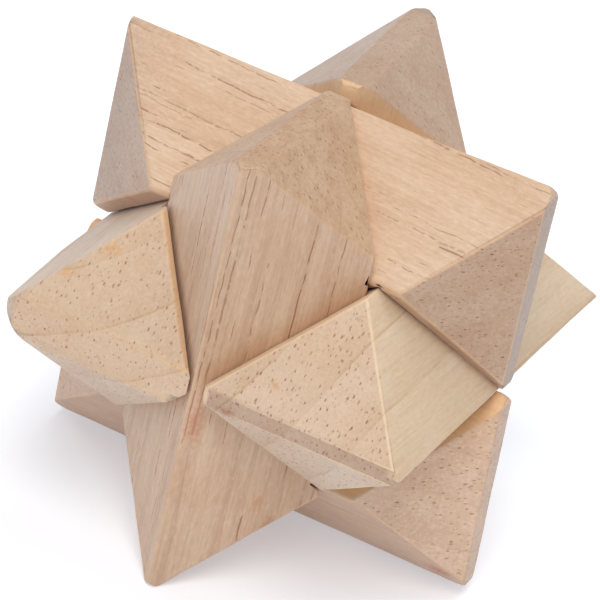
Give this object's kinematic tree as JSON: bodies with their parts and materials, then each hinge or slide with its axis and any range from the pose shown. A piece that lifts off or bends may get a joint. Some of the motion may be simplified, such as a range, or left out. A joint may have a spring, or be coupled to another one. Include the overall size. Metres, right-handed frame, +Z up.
{
  "type": "wooden star burr puzzle",
  "caption": "Interlocking wooden burr puzzle shaped as a pointed star, of alike notched square sticks with bevelled ends, that slides apart along its diagonals.",
  "frame": {"origin": "centre of the star, where the inner edges of all the sticks meet", "axes": "+X along the top and bottom sticks, towards the right stick; +Y along the left and right sticks, towards the back stick; +Z up, along the front and back sticks, which the star stands on"},
  "size_m": [0.075, 0.075, 0.075],
  "materials": {
    "top_stick": "sanded bare wood, no varnish",
    "bottom_stick": "sanded bare wood, no varnish",
    "front_stick": "sanded bare wood, no varnish",
    "back_stick": "sanded bare wood, no varnish",
    "left_stick": "sanded bare wood, no varnish",
    "right_stick": "sanded bare wood, no varnish"
  },
  "bodies": {
    "top": {"top_stick": "top_stick"},
    "bottom": {"bottom_stick": "bottom_stick"},
    "front": {"front_stick": "front_stick"},
    "back": {"back_stick": "back_stick"},
    "left": {"left_stick": "left_stick"},
    "right": {"right_stick": "right_stick"}
  },
  "joints": [
    {"name": "left_slide", "type": "slide", "parent": "bottom", "child": "left", "axis": [-0.5774, 0.5774, 0.5774], "range_m": [0, 0.03]},
    {"name": "front_slide", "type": "slide", "parent": "bottom", "child": "front", "axis": [0.5774, -0.5774, 0.5774], "range_m": [0, 0.03]},
    {"name": "back_slide", "type": "slide", "parent": "left", "child": "back", "axis": [0.5774, 0.5774, 0.5774], "range_m": [0, 0.03]},
    {"name": "right_slide", "type": "slide", "parent": "front", "child": "right", "axis": [0.5774, 0.5774, 0.5774], "range_m": [0, 0.03]},
    {"name": "top_slide", "type": "slide", "parent": "back", "child": "top", "axis": [0.5774, -0.5774, 0.5774], "range_m": [0, 0.03]}
  ],
  "couplings": [
    {"joint": "right_slide", "follows": "back_slide", "ratio": 1},
    {"joint": "top_slide", "follows": "front_slide", "ratio": 1}
  ]
}
